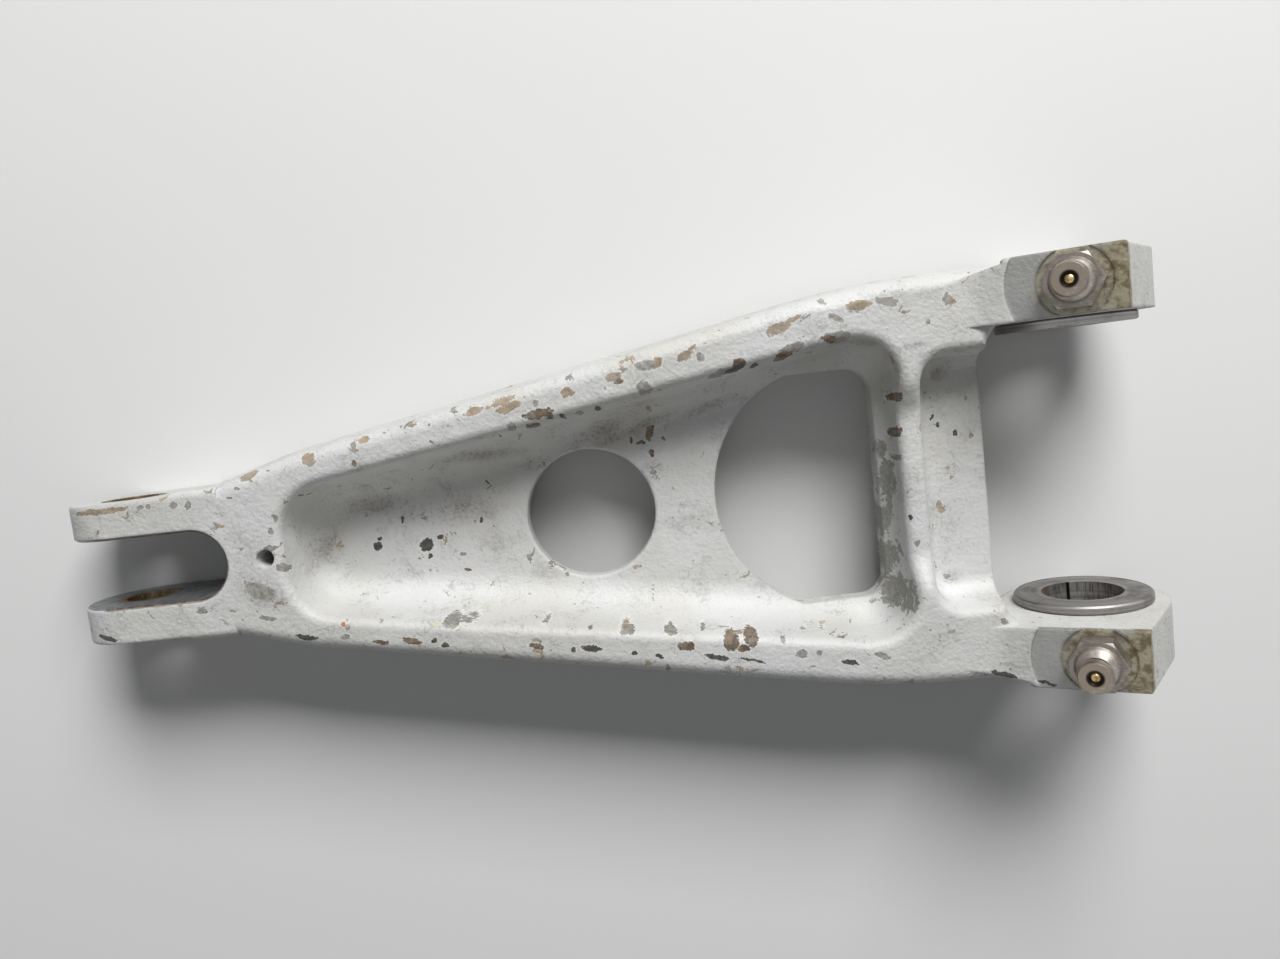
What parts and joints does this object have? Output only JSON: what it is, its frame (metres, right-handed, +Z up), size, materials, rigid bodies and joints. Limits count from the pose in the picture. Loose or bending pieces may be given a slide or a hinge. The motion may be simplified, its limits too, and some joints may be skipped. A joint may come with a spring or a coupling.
{
  "type": "landing gear torque knee",
  "caption": "A-shaped torque link arm with a slotted clevis end, bushed lugs, a round hole, a D-shaped window and grease fittings.",
  "frame": {"origin": "middle of the bore axis at the wide end, halfway between the two lugs", "axes": "+X along the midline from the clevis to the lugs, +Y along the bore axis, +Z up out of the front face; the knee lies on its back on the lugs and the ears, which tilts its midline by 1.7 degrees"},
  "size_m": [0.2266, 0.083, 0.0485],
  "materials": {
    "painted_forging": "worn silver-grey paint over a forged light alloy, chipped to primer and bare metal",
    "bushing_steel": "turned steel, stained, scored inside",
    "ear_bushing_bronze": "dull brown bronze sleeve",
    "fitting_steel": "plated steel with scratched corners",
    "ball_steel": "polished, tarnished ball",
    "spring_steel": "drawn spring wire"
  },
  "bodies": {
    "knee": {"torque_knee_body": "painted_forging", "left_lug_bushing": "bushing_steel", "left_ear_bushing": "ear_bushing_bronze", "left_grease_fitting": "fitting_steel", "left_ball_spring": "spring_steel", "right_lug_bushing": "bushing_steel", "right_ear_bushing": "ear_bushing_bronze", "right_grease_fitting": "fitting_steel", "right_ball_spring": "spring_steel"},
    "left_ball": {"left_check_ball": "ball_steel"},
    "right_ball": {"right_check_ball": "ball_steel"}
  },
  "joints": [
    {"name": "left_ball_lift", "type": "slide", "parent": "knee", "child": "left_ball", "axis": [0.4951, 0, -0.8688], "range_m": [0, 0.0008], "stiffness_N_per_m": 300, "springref_m": -0.001, "deforming": ["left_ball_spring"]},
    {"name": "right_ball_lift", "type": "slide", "parent": "knee", "child": "right_ball", "axis": [0.4951, 0, -0.8688], "range_m": [0, 0.0008], "stiffness_N_per_m": 300, "springref_m": -0.001, "deforming": ["right_ball_spring"]}
  ]
}
